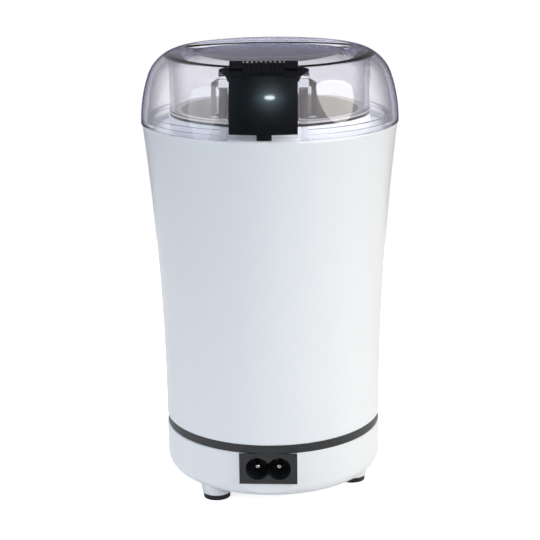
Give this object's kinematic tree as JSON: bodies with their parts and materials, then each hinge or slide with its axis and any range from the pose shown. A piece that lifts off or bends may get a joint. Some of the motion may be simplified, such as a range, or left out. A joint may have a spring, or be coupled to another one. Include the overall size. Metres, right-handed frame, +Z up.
{
  "type": "electric spice grinder",
  "caption": "Small upright electric spice grinder with a waisted white housing, a clear domed lid, a black press button, a steel bowl with blades and a mains inlet.",
  "frame": {"origin": "on the table under the centre of the grinder, at the bottom of the feet", "axes": "+Z up along the motor shaft; -Y to the front, where the button and the mains inlet are; +X to the viewer's right"},
  "size_m": [0.1018, 0.1017, 0.179],
  "materials": {
    "white_shell": "satin moulded ABS",
    "dark_trim": "fine satin moulding",
    "black_rubber": "moulded rubber",
    "plated_steel": "zinc plated",
    "pin_metal": "nickel plated",
    "lead_jacket": "soft jacket",
    "bowl_steel": "spun and polished stainless steel",
    "blade_steel": "ground stainless steel",
    "black_moulding": "satin moulding",
    "lamination": "stacked electrical steel",
    "copper_wire": "enamelled winding wire",
    "copper_bar": "turned copper",
    "fan_moulding": "natural nylon",
    "bearing_bronze": "sintered bronze",
    "brass_tube": "drawn brass",
    "carbon": "pressed carbon",
    "spring_wire": "drawn spring wire",
    "red_moulding": "satin moulding",
    "clear_lid": "clear polystyrene with a lavender tint",
    "black_gloss": "polished black ABS"
  },
  "bodies": {
    "frame": {"housing": "white_shell", "base_cup": "white_shell", "trim_band": "dark_trim", "foot_pads": "black_rubber", "base_screws": "plated_steel", "inlet_housing": "dark_trim", "inlet_pins": "pin_metal", "inlet_leads": "lead_jacket", "grinding_bowl": "bowl_steel", "bowl_gasket": "black_rubber", "bowl_bush": "black_moulding", "shaft_seal": "black_rubber", "stator_stack": "lamination", "field_coils": "copper_wire", "stator_bolts": "plated_steel", "upper_bracket": "plated_steel", "lower_bracket": "plated_steel", "upper_bearing": "bearing_bronze", "lower_bearing": "bearing_bronze", "motor_grommets": "black_rubber", "motor_screws": "plated_steel", "brush_holders": "brass_tube", "carbon_brushes": "carbon", "brush_springs": "spring_wire", "switch_body": "black_moulding", "switch_screws": "plated_steel", "push_rod_spring": "spring_wire"},
    "rotor": {"motor_shaft": "plated_steel", "armature_core": "lamination", "armature_winding": "copper_wire", "commutator": "copper_bar", "cooling_fan": "fan_moulding", "lower_blade": "blade_steel", "upper_blade": "blade_steel", "blade_washer": "plated_steel", "blade_nut": "plated_steel"},
    "lid": {"lid_shell": "clear_lid", "lid_skirt": "clear_lid"},
    "button": {"press_button": "black_gloss"},
    "push_rod": {"push_rod": "black_moulding"},
    "switch_lever": {"switch_lever": "spring_wire"},
    "switch_plunger": {"switch_plunger": "red_moulding"}
  },
  "joints": [
    {"name": "rotor_spin", "type": "hinge", "parent": "frame", "child": "rotor", "pos_m": [0, 0, 0.0726], "axis": [0, 0, 1], "continuous": true},
    {"name": "lid_lift", "type": "slide", "parent": "frame", "child": "lid", "axis": [0, 0, 1], "range_m": [0, 0.06]},
    {"name": "button_press", "type": "slide", "parent": "lid", "child": "button", "axis": [0, 0, -1], "range_m": [0, 0.0022], "stiffness_N_per_m": 700, "springref_m": -0.003},
    {"name": "rod_slide", "type": "slide", "parent": "frame", "child": "push_rod", "axis": [0, 0, -1], "range_m": [0, 0.0022], "stiffness_N_per_m": 200, "springref_m": -0.002, "deforming": ["push_rod_spring"]},
    {"name": "lever_swing", "type": "hinge", "parent": "frame", "child": "switch_lever", "pos_m": [0, -0.0215, 0.1003], "axis": [1, 0, 0], "range_deg": [0, 6.7]},
    {"name": "plunger_slide", "type": "slide", "parent": "frame", "child": "switch_plunger", "axis": [0, 0, -1], "range_m": [0, 0.00078]}
  ],
  "couplings": [
    {"joint": "rod_slide", "follows": "button_press", "ratio": 1},
    {"joint": "lever_swing", "follows": "button_press", "rad_per_m": 52.4},
    {"joint": "plunger_slide", "follows": "button_press", "ratio": 0.345}
  ]
}
